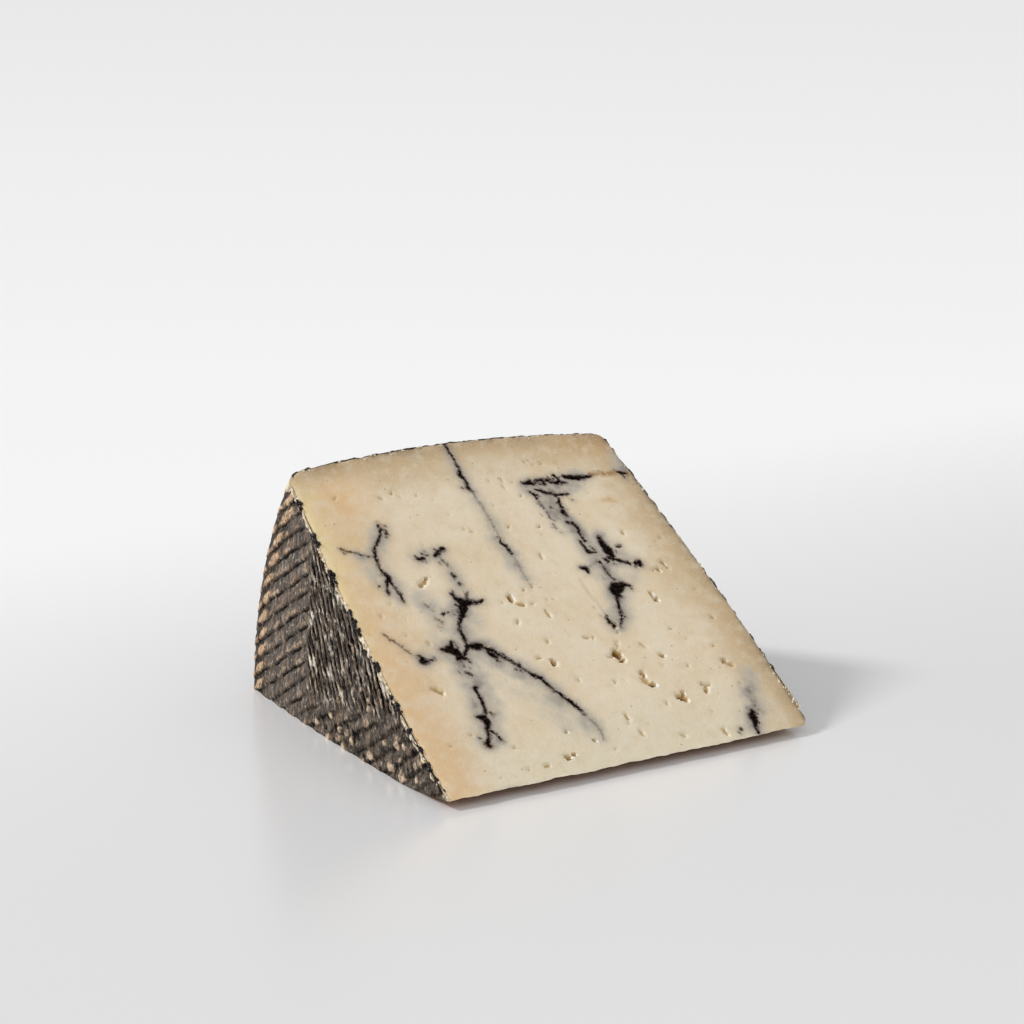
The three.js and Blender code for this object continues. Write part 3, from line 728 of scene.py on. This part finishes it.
# Outer part of a flat face: overlapping ridges with worn crests, and a knot on each next to the shoulder
across_fat, along_fat = turned(face_y, face_z, ridge_slant)
fat, fat_foot, fat_crest, fat_row, fat_share_across = shingles(across_fat - ridge_start, ridge_pitch)
fat_luck = luck(fat_row, along_fat, 4.5, 37)
from_knots = out - rim_knots_out + 1.2 * luck(fat_row, along_fat * 0, 1.0, 38)
big_knot = np.hypot(from_knots / 2.7, (fat_share_across - 0.42) / 0.42)
small_knot = np.hypot((from_knots - 3.6) / 1.6, (fat_share_across - 0.14) / 0.32)
knot = 1 - smooth_step(0.55, 1.0, np.minimum(big_knot, small_knot) * (1 + 0.35 * rough + 0.3 * patches))
fat_wear = fat_crest * (0.15 + 0.55 * smooth_step(-0.3, 0.4, fat_luck + 0.4 * patches))
fat_wear = np.maximum(fat_wear + 0.1 * fat_crest * smooth_step(76, 87, out), knot)
# Painted shade, with the coat's black: darkest at the foot of each ridge and on the slope before it, and
# between the knots by the rim.
fat_dark = 0.4 * fat_foot * smooth_step(-0.35, 0.15, luck(fat_row, along_fat, 6.0, 40))
fat_dark = np.maximum(fat_dark, 0.35 * smooth_step(0.6, 1.0, fat_share_across))
fat_dark = np.maximum(fat_dark, 0.7 * smooth_step(84.5, 87.0, out) * (1 - knot))
# Inner part: thin steep threads with black gaps
across_thin, along_thin = turned(places[:, 1], places[:, 2], line_slant)
across_thin += 0.5 * wobble(places, 9, 41) + 0.16 * wobble(places, 1.6, 42)
thin_row = np.floor(across_thin / line_pitch + 0.5)
from_thread = np.abs(across_thin / line_pitch - thin_row) * 2
thin = 1 - smooth_step(0.4, 0.85, from_thread)
thin_luck = luck(thin_row, along_thin, 5.0, 35)
thin_wear = thin * smooth_step(0.1, 0.5, thin_luck + 0.35 * rough)
thin_wear *= 0.65 + 0.6 * np.exp(-((face_y - 42) / 11) ** 2 - ((face_z - 14) / 7) ** 2)
# Low down: the ridges go on with a knot every few millimetres, and round bumps near the sharp edge
low_way = along_fat / 4.6 + 1.5 * luck(fat_row, along_fat * 0, 1.0, 44) + 0.25 * wobble(places, 6, 45)
low_number = np.floor(low_way)
low_chance = smooth_step(-0.3, 0.4, luck(fat_row, low_number * 7.3, 1.0, 43))
low_knot = np.hypot((low_way - low_number - 0.5) / 0.38, (fat_share_across - 0.42) / 0.36)
# Low down the grooves are darkened, painted shade together with the coat's black, and darker patches of coat
# lie between the bumps.
low_groove = 1 - smooth_step(0.05, 0.3, fat_share_across) + smooth_step(0.75, 1.0, fat_share_across)
low_groove *= smooth_step(-0.6, 0.2, luck(fat_row, along_fat, 7.0, 40))
low_dark = 0.4 + 0.75 * low_groove + 0.7 * smooth_step(0.15, 0.45, wobble(places, 1.8, 46))
low_knot = low_chance * (1 - smooth_step(0.5, 1.0, low_knot * (1 + 0.35 * rough + 0.3 * patches)))
bumps = np.zeros(len(along))
for nodule_y, nodule_z, half_length, half_height in nodules:
    reach = np.hypot((places[:, 1] - nodule_y) / half_length, (places[:, 2] - nodule_z) / half_height)
    bumps = np.maximum(bumps, 1.1 * (1 - smooth_step(0.5, 1.05, reach * (1 + 0.4 * rough + 0.25 * patches))))
border = face_y - 63.0 + 2.0 * wobble(places, 9, 28)
low_border = places[:, 2] - 6.5 - 0.14 * (63.0 - face_y) + 2.0 * wobble(places, 8, 29)
fat_share = smooth_step(-1.5, 1.5, border)
low_down = 1 - smooth_step(-2.5, 2.5, low_border)
bump_share = (1 - fat_share) * np.maximum(low_down, smooth_step(0.7, 1.0, bumps))
thin_share = 1 - fat_share - bump_share
bumps = np.maximum(bumps, 0.75 * low_knot)
bump_rise = np.maximum(0.15 + 0.5 * fat, 0.3 + 0.65 * bumps)
face_rise = fat_share * np.maximum(fat * 0.8, knot) + thin_share * thin * 0.8 + bump_share * bump_rise
face_wear = fat_share * fat_wear + thin_share * thin_wear + bump_share * bumps
face_dark = fat_share * fat_dark + bump_share * (1 - np.clip(bumps, 0, 1)) * np.clip(low_dark, 0, 1)
# Round the side of the wheel: wheat-ear bands
arc = angle * wheel_radius
band = np.floor((along + 1.2 * wobble(places, 10, 30)) / plait_band + 0.5)
from_band = along - band * plait_band
across_plait = arc + face_y - places[:, 1] + np.where(band % 2 == 0, 0.8, -0.8) * from_band
plait, plait_foot, plait_crest, plait_row = shingles(across_plait, ridge_pitch)[:4]
plait_luck = luck(plait_row + 31 * band, from_band, 4.5, 39)
seam = smooth_step(0.1, 1.4, plait_band / 2 - np.abs(from_band) + 0.5 * rough)
wall_rise = plait * (0.8 + 0.2 * plait_luck) * (0.35 + 0.65 * seam)
wall_wear = plait_crest * (0.15 + 0.75 * smooth_step(-0.2, 0.45, plait_luck + 0.35 * patches))
# Painted shade at the foot of each plaited ridge and in the seams between the bands, with the coat's black.
wall_dark = np.maximum(0.4 * plait_foot * smooth_step(-0.4, 0.1, patches + plait_luck), 0.6 * (1 - seam))
crest = face_rise * (1 - on_wall) + wall_rise * on_wall
wear = face_wear * (1 - on_wall) + wall_wear * on_wall
dark = face_dark * (1 - on_wall) + wall_dark * on_wall
at_shoulder = 1 - 0.5 * smooth_step(0.15, 0.5, tilts[:, 1]) * (1 - smooth_step(0.8, 1.0, tilts[:, 1]))
rise = ((ridge_relief - 0.15 * on_wall) * crest - groove_depth + 0.1 * on_wall) * at_shoulder
rise = rise + 0.13 * rough + 0.07 * fine_rough
rise *= outer * np.clip(out / 8, 0, 1) * (1 - 0.6 * on_wall * (1 - smooth_step(0.0, 4.0, gap_to_cut)))
smooth_along = along + rind_thickness * (1 - outer)
places[:, 0] += rise * tilts[:, 0]
places[:, 1] += rise * tilts[:, 1] * np.cos(angle)
places[:, 2] += rise * tilts[:, 1] * np.sin(angle)
# Torn back from the upper cut, most on the flat face that shows
torn = 0.5 + 0.5 * wobble(places, 2.4, 31) + 0.35 * wobble(places, 0.9, 36)
left_face = smooth_step(30, 44, -along) * (1 - on_wall)
torn += left_face * (0.1 - 0.004 * out + 0.3 * wobble(places, 2.6, 32) + 0.2 * wobble(places, 0.9, 33))
near_lumps = np.zeros(len(along))
for row_out, row_length, bite in lump_rows:
    near_lumps = np.maximum(near_lumps, 1 - smooth_step(0.4, 0.65, np.abs(out - row_out) / row_length))
near_lumps *= left_face
torn = np.clip(torn * (1 - 0.9 * near_lumps), 0.02, 0.3 * out + 0.02)
squeezed = angle * (1 - torn / np.maximum(out, 0.5) / cut_angle)
radius = np.hypot(places[:, 1], places[:, 2])
places[:, 1] = radius * np.cos(squeezed)
places[:, 2] = radius * np.sin(squeezed)
settle(rind_mesh, places, smooth_along - places[:, 0])
rind_mesh.set_sharp_from_angle(angle=math.radians(60))
near_rim = smooth_step(81, 88, out) * (1 - 0.5 * on_wall)
coat = np.stack([np.clip(dark, 0, 1), np.clip(wear / 1.1, 0, 1), near_rim, outer], axis=1)
add_layer(rind_mesh, "coat", "FLOAT_COLOR", coat)
# Pale paste where the coat is gone: a line beside the cut on the left face, and two corners
left_line = left_face * (1 - near_lumps)
left_line *= 1 - smooth_step(0.1, 0.5, gap_to_cut + 0.5 * rough + 0.5 * patches)
corner_gap = np.hypot((along + 47.5) / 4.5, gap_to_cut / 3.2) + 0.25 * rough
bare = np.maximum(left_line, smooth_step(89.5, 92, out) * (1 - smooth_step(0.75, 1.0, corner_gap)))
tip_gap = smooth_step(0.3, 1.1, gap_to_cut + 0.4 * rough)
bare = np.maximum(bare, smooth_step(43.5, 46, along) * (1 - smooth_step(5, 8, out)) * (1 - tip_gap))
add_layer(rind_mesh, "bare", "FLOAT", bare)
# Patterns that the coat's colour follows, each as rows across, way along them and how clear they are
fat_clear = fat_share * (1 - knot) + 0.7 * bump_share * (1 - np.clip(bumps, 0, 1))
fat_clear *= 1 - smooth_step(0.1, 0.35, tilts[:, 1])
wall_clear = seam * smooth_step(0.75, 0.95, tilts[:, 1])
ridge_rows = np.where(on_wall > 0.5, across_plait, across_fat - ridge_start) / ridge_pitch
ridge_way = np.where(on_wall > 0.5, from_band + 31 * band, along_fat)
ridge = np.stack([ridge_rows, ridge_way, np.where(on_wall > 0.5, wall_clear, fat_clear)], axis=1)
thin_clear = (thin_share + 0.1 * bump_share) * (1 - on_wall)
line = np.stack([across_thin / line_pitch, along_thin, thin_clear], axis=1)
across_straw, along_straw = turned(face_y, face_z, straw_slant)
wall_straw = from_band * 0.6 + np.where(band % 2 == 0, -1.0, 1.0) * arc * 0.8
straw = np.stack([np.where(on_wall > 0.5, wall_straw, across_straw),
                  np.where(on_wall > 0.5, across_plait, along_straw),
                  np.where(on_wall > 0.5, 0.6, 0.7 * fat_share + 0.3 * bump_share)], axis=1)
for name, pattern in (("ridge", ridge), ("line", line), ("straw", straw)):
    add_layer(rind_mesh, name, "FLOAT_VECTOR", pattern)
rind = put_in_scene("cheese_rind", rind_mesh)


def pattern_parts(tree, name):
    """Rows across, way along and clearness of one pattern of the coat."""
    values = layer_node(tree, name).outputs["Vector"]
    parts = add_node(tree, "ShaderNodeSeparateXYZ", {"Vector": values}).outputs
    return parts["X"], parts["Y"], parts["Z"]


def row_luck(tree, rows, way, length):
    """Noise along each row of a pattern, different from row to row."""
    row = figure(tree, "FLOOR", rows, 0.0)
    spot = {"X": figure(tree, "DIVIDE", way, length), "Y": times(tree, row, 3.7)}
    return speckle(tree, 1.0, 2, 0.5, add_node(tree, "ShaderNodeCombineXYZ", spot).outputs["Vector"])


def threads(tree, across, way, pitch):
    """Long thin streaks, 0 to 1."""
    spot = {"X": figure(tree, "DIVIDE", across, pitch), "Y": figure(tree, "DIVIDE", way, 5 * pitch)}
    return speckle(tree, 1.0, 3, 0.6, add_node(tree, "ShaderNodeCombineXYZ", spot).outputs["Vector"])


rind_look, tree, shader = new_material("cheese_rind")
charcoal = paint(83, 74, 66)
groove_black = paint(5, 3, 2)
straw_tan = paint(178, 152, 124)
rim_tan = paint(198, 160, 122)
straw_cream = paint(222, 204, 176)
straw_brown = paint(116, 96, 79)
dust_grey = paint(214, 200, 181)
glint_white = paint(240, 230, 214)
bare_paste = paint(230, 211, 180)
coat_node = layer_node(tree, "coat")
coat_parts = add_node(tree, "ShaderNodeSeparateColor", {"Color": coat_node.outputs["Color"]})
scuff = speckle(tree, 1.5, 4, 0.65)
dust = speckle(tree, 0.8, 3, 0.6)
patch = speckle(tree, 3.5, 3, 0.6)
nudge = less(tree, scuff, 0.5)
# Thin black lines at the feet of the overlapping ridges: painted shade under each ridge, with the coat's
# black
ridge_rows, ridge_way, ridge_clear = pattern_parts(tree, "ridge")
ridge_share = figure(tree, "FRACT", plus(tree, ridge_rows, times(tree, nudge, 0.12)), 0.0)
ridge_foot = ramp(tree, ridge_share, 0.0, 0.24, 0.95, 0.0)
ridge_foot = plus(tree, ridge_foot, ramp(tree, ridge_share, 0.86, 1.0, 0.0, 0.95))
ridge_dark = ramp(tree, row_luck(tree, plus(tree, ridge_rows, 0.5), ridge_way, 5.0), 0.32, 0.56, 0.15, 1.0)
ridge_dark = times(tree, times(tree, ridge_foot, ridge_dark), ridge_clear)
# Black gaps between the steep threads, painted shade in them with the coat's black, and pale streaks on them
line_rows, line_way, line_clear = pattern_parts(tree, "line")
line_rows = plus(tree, line_rows, times(tree, nudge, 0.35))
from_gap = figure(tree, "ABSOLUTE", less(tree, figure(tree, "FRACT", line_rows, 0.0), 0.5), 0.0)
gap_luck = ramp(tree, row_luck(tree, line_rows, line_way, 7.0), 0.36, 0.52, 0.35, 1.0)
gap_dark = times(tree, ramp(tree, from_gap, 0.13, 0.3, 1.0, 0.0), gap_luck)
gap_dark = times(tree, gap_dark, line_clear)
line_streak = threads(tree, times(tree, line_rows, line_pitch), line_way, 0.9)
straw_across, straw_way, straw_clear = pattern_parts(tree, "straw")
straw_streak = threads(tree, straw_across, straw_way, 1.1)
streak_pale = plus(tree, times(tree, ramp(tree, line_streak, 0.5, 0.64), line_clear),
                     times(tree, ramp(tree, straw_streak, 0.55, 0.7), straw_clear))
streak_pale = times(tree, streak_pale, ramp(tree, patch, 0.36, 0.58, 0.4, 1.0))
streak_dark = plus(tree, times(tree, ramp(tree, line_streak, 0.36, 0.48, 0.8, 0.0), line_clear),
                     times(tree, ramp(tree, straw_streak, 0.32, 0.44, 0.6, 0.0), straw_clear))
colour = blend(tree, ramp(tree, patch, 0.44, 0.66, 0.0, 0.7), charcoal, straw_brown)
pile = threads(tree, straw_across, straw_way, 0.6)
colour = blend(tree, 1.0, colour, ramp(tree, pile, 0.3, 0.7, 0.35, 1.75), "MULTIPLY")
wear_noise = plus(tree, times(tree, scuff, 1.5), times(tree, pile, 1.0))
worn = plus(tree, coat_parts.outputs["Green"], less(tree, wear_noise, 1.25))
colour = blend(tree, ramp(tree, worn, 0.2, 0.45, 0.0, 0.9), colour, straw_brown)
worn_tan = blend(tree, coat_parts.outputs["Blue"], straw_tan, rim_tan)
worn_tan = blend(tree, 1.0, worn_tan, ramp(tree, dust, 0.36, 0.6, 0.55, 1.15), "MULTIPLY")
colour = blend(tree, ramp(tree, worn, 0.45, 0.8, 0.0, 0.95), colour, worn_tan)
colour = blend(tree, ramp(tree, worn, 0.9, 1.2, 0.0, 0.9), colour, straw_cream)
colour = blend(tree, times(tree, streak_pale, 0.8), colour, dust_grey)
# The coat's darker parts, much of it painted shade in the grooves, seams and gaps between knots
coat_dark_and_shade = times(tree, coat_parts.outputs["Red"], ramp(tree, scuff, 0.35, 0.65, 1.0, 0.5))
black = figure(tree, "MAXIMUM", ridge_dark, gap_dark)
black = figure(tree, "MAXIMUM", black, figure(tree, "MAXIMUM", coat_dark_and_shade, streak_dark))
colour = blend(tree, ramp(tree, dust, 0.58, 0.7, 0.0, 0.7), colour, dust_grey)
colour = blend(tree, black, colour, groove_black)
colour = blend(tree, ramp(tree, dust, 0.3, 0.42, 0.85, 0.0), colour, groove_black)
thread_glint = times(tree, ramp(tree, line_streak, 0.57, 0.65, 0.0, 0.9), line_clear)
colour = blend(tree, times(tree, thread_glint, ramp(tree, scuff, 0.42, 0.56)), colour, glint_white)
bare_node = layer_node(tree, "bare")
colour = blend(tree, ramp(tree, bare_node.outputs["Fac"], 0.3, 0.6), colour, bare_paste)
tree.links.new(colour, shader.inputs["Base Color"])
tree.links.new(ramp(tree, scuff, 0.3, 0.7, 0.5, 0.8), shader.inputs["Roughness"])
tree.links.new(ramp(tree, black, 0.0, 0.8, 0.32, 0.02), shader.inputs["Specular IOR Level"])
relief = plus(tree, times(tree, scuff, 0.8), times(tree, dust, 0.5))
relief = plus(tree, relief, times(tree, line_streak, line_clear))
relief = plus(tree, relief, times(tree, straw_streak, straw_clear))
relief = less(tree, relief, times(tree, black, 0.6))
bump = add_node(tree, "ShaderNodeBump", {"Height": relief, "Strength": 0.75, "Distance": 0.0005})
tree.links.new(bump.outputs["Normal"], shader.inputs["Normal"])
rind_mesh.materials.append(rind_look)
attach(rind, "root")
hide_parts("cheese_wedge")

# Rind lumps: black glossy clots of coat that the knife dragged over the edge of the cut as it came through.
# Knobbly pebbles, set in rows at places along the left edge and sunk half way in.


def pebble(mesh, middle, size, stretch, seed, lumpy, fineness):
    """Adds one knobbly pebble; stretch is along the edge, out of it and up from the cut."""
    made = bmesh.ops.create_icosphere(mesh, subdivisions=fineness, radius=1.0)["verts"]
    for vert in made:
        shift = Vector((seed * 3.1, seed * 1.7, 0))
        bump = 1 + lumpy * (noise.noise(vert.co * 1.3 + shift) + 0.4 * noise.noise(vert.co * 3.5 + shift))
        across, out, up = (vert.co[axis] * bump * stretch[axis] * size for axis in range(3))
        vert.co = middle + cut_place(across, out, up)


def cut_place(across, out, up):
    """A place on the upper cut, or above it, in millimetres round the wheel's axis."""
    return Matrix.Rotation(cut_angle, 3, "X") @ Vector((across, out, up))


lump_dice = random.Random(3)
lump_bm = bmesh.new()
for row_out, row_length, bite in lump_rows:
    for number in range(round(row_length * 4)):
        along_row = lump_dice.uniform(-1, 1)
        lump_out = row_out + row_length / 2 * along_row
        inward = lump_dice.uniform(-0.6, 0.5 * bite * (1 - along_row ** 2))
        middle = cut_place(-float(paste_half(lump_out)) + inward, lump_out, lump_dice.uniform(-0.4, -0.1))
        size = lump_dice.uniform(0.22, 0.55) * min(1.0, 0.7 + lump_out / 60)
        pebble(lump_bm, middle, size, (0.75, 1.25, 0.7), lump_dice.uniform(0, 50), 0.7, 3)
lump_mesh = finish_mesh(lump_bm, "cheese_rind_lumps")
settle(lump_mesh, mesh_places(lump_mesh))
lumps = put_in_scene("cheese_rind_lumps", lump_mesh)
lump_look, tree, shader = new_material("cheese_rind_lumps")
lump_black = paint(7, 5, 5)
lump_brown = paint(52, 34, 24)
colour = blend(tree, ramp(tree, speckle(tree, 0.9, 3), 0.45, 0.68, 0.0, 0.8), lump_black, lump_brown)
tree.links.new(colour, shader.inputs["Base Color"])
shader.inputs["Roughness"].default_value = 0.3
shader.inputs["Specular IOR Level"].default_value = 0.3
lump_grain = speckle(tree, 0.5, 2)
bump = add_node(tree, "ShaderNodeBump", {"Height": lump_grain, "Strength": 0.5, "Distance": 0.0003})
tree.links.new(bump.outputs["Normal"], shader.inputs["Normal"])
lump_mesh.materials.append(lump_look)
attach(lumps, "root")

# Paste crumbs: pale bits of curd that stand in a broken line along the torn left edge, and a few elsewhere.
# Knobbly pebbles again, smaller and dull.
crumb_lumpy = 0.6
crumb_fineness = 2
crumb_dice = random.Random(8)
crumb_bm = bmesh.new()
for number in range(130):
    crumb_out = crumb_dice.uniform(0.5, 90)
    if any(abs(crumb_out - row_out) < 0.45 * row_length for row_out, row_length, bite in lump_rows):
        continue
    middle = cut_place(-float(paste_half(crumb_out)) + crumb_dice.uniform(-0.25, 0.15), crumb_out,
                       crumb_dice.uniform(-1.0, -0.2))
    pebble(crumb_bm, middle, crumb_dice.uniform(0.2, 0.45), (0.8, 1.7, 0.9), crumb_dice.uniform(0, 50),
           crumb_lumpy, crumb_fineness)
for number in range(90):
    crumb_out = 3 + 89 * crumb_dice.random() ** 1.7
    middle = cut_place(float(paste_half(crumb_out)) - crumb_dice.uniform(-0.2, 0.9), crumb_out,
                       crumb_dice.uniform(-0.5, -0.1))
    pebble(crumb_bm, middle, crumb_dice.uniform(0.12, 0.34), (0.9, 1.3, 0.8), crumb_dice.uniform(0, 50),
           crumb_lumpy, crumb_fineness)
for number in range(110):
    crumb_along = crumb_dice.uniform(-42, 44)
    crumb_out = wheel_radius + side_bulge * (1 - (crumb_along / 45) ** 2) - crumb_dice.uniform(0.4, 1.8)
    middle = cut_place(crumb_along, crumb_out, crumb_dice.uniform(-0.5, -0.1))
    pebble(crumb_bm, middle, crumb_dice.uniform(0.12, 0.34), (1.4, 0.9, 0.8), crumb_dice.uniform(0, 50),
           crumb_lumpy, crumb_fineness)
crumb_mesh = finish_mesh(crumb_bm, "cheese_crumbs")
settle(crumb_mesh, mesh_places(crumb_mesh))
crumbs = put_in_scene("cheese_crumbs", crumb_mesh)
crumb_look, tree, shader = new_material("cheese_crumbs")
crumb_cream = paint(236, 227, 206)
crumb_tan = paint(214, 188, 148)
colour = blend(tree, ramp(tree, speckle(tree, 1.4, 2), 0.4, 0.7), crumb_cream, crumb_tan)
tree.links.new(colour, shader.inputs["Base Color"])
shader.inputs["Roughness"].default_value = 0.5
crumb_mesh.materials.append(crumb_look)
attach(crumbs, "root")

# The stage: a pale floor that runs back a long way, and soft white light from the upper left.
floor_bm = bmesh.new()
bmesh.ops.create_grid(floor_bm, x_segments=4, y_segments=4, size=6.0)
floor_mesh = finish_mesh(floor_bm, "floor")
floor = put_in_scene("floor", floor_mesh)
floor_look, tree, shader = new_material("floor")
floor_where = add_node(tree, "ShaderNodeTexCoord").outputs["Object"]
floor_back = add_node(tree, "ShaderNodeSeparateXYZ", {"Vector": floor_where}).outputs["Y"]
# Painted shade: the floor is greyer at the front, by the wedge, and whiter further back.
floor_front_shade = paint(238, 238, 239)
floor_white = paint(254, 254, 255)
colour = blend(tree, ramp(tree, floor_back, -0.12, 0.18), floor_front_shade, floor_white)
tree.links.new(colour, shader.inputs["Base Color"])
tree.links.new(ramp(tree, floor_back, -0.05, 0.2, 0.5, 0.02), shader.inputs["Specular IOR Level"])
tree.links.new(ramp(tree, floor_back, -0.05, 0.2, 1.0, 0.0), shader.inputs["Coat Weight"])
shader.inputs["Coat Roughness"].default_value = 0.24
shader.inputs["Roughness"].default_value = 0.22
floor_mesh.materials.append(floor_look)

world = bpy.data.worlds.new("soft_white")
world.use_nodes = True
world.node_tree.nodes["Background"].inputs["Color"].default_value = (1, 1, 1, 1)
world.node_tree.nodes["Background"].inputs["Strength"].default_value = 0.49
bpy.context.scene.world = world


def far_light(name, direction, power, spread):
    lamp = bpy.data.lights.new(name, "SUN")
    lamp.energy = power
    lamp.angle = math.radians(spread)
    holder = bpy.data.objects.new(name, lamp)
    holder.rotation_euler = Vector(direction).to_track_quat("-Z", "Y").to_euler()
    bpy.context.scene.collection.objects.link(holder)


far_light("key", (0.60, -0.53, -0.60), 1.95, 11)
far_light("fill", (0.3, 0.8, -0.5), 0.6, 100)

# The camera stands where the picture was taken from, fitted to the outline of the wedge.
camera_turn = math.radians(34.86)
camera_pitch = math.radians(14.48)
camera_roll = math.radians(1.5)
frame_pixels = 1024
focal_pixels = 2800
from_left_tip = Vector((-0.3078, -0.4627, 0.2088))
camera_data = bpy.data.cameras.new("camera")
camera_data.sensor_width = 36.0
camera_data.lens = focal_pixels / frame_pixels * camera_data.sensor_width
camera_data.clip_end = 50
camera = bpy.data.objects.new("camera", camera_data)
camera.location = from_left_tip + Vector((tip_low.x, tip_low.y, 0))
look_along = Matrix.Rotation(-camera_turn, 4, "Z") @ Matrix.Rotation(math.pi / 2 - camera_pitch, 4, "X")
camera.rotation_euler = (look_along @ Matrix.Rotation(camera_roll, 4, "Z")).to_euler()
bpy.context.scene.collection.objects.link(camera)
bpy.context.scene.camera = camera
bpy.context.scene.view_settings.view_transform = "Standard"
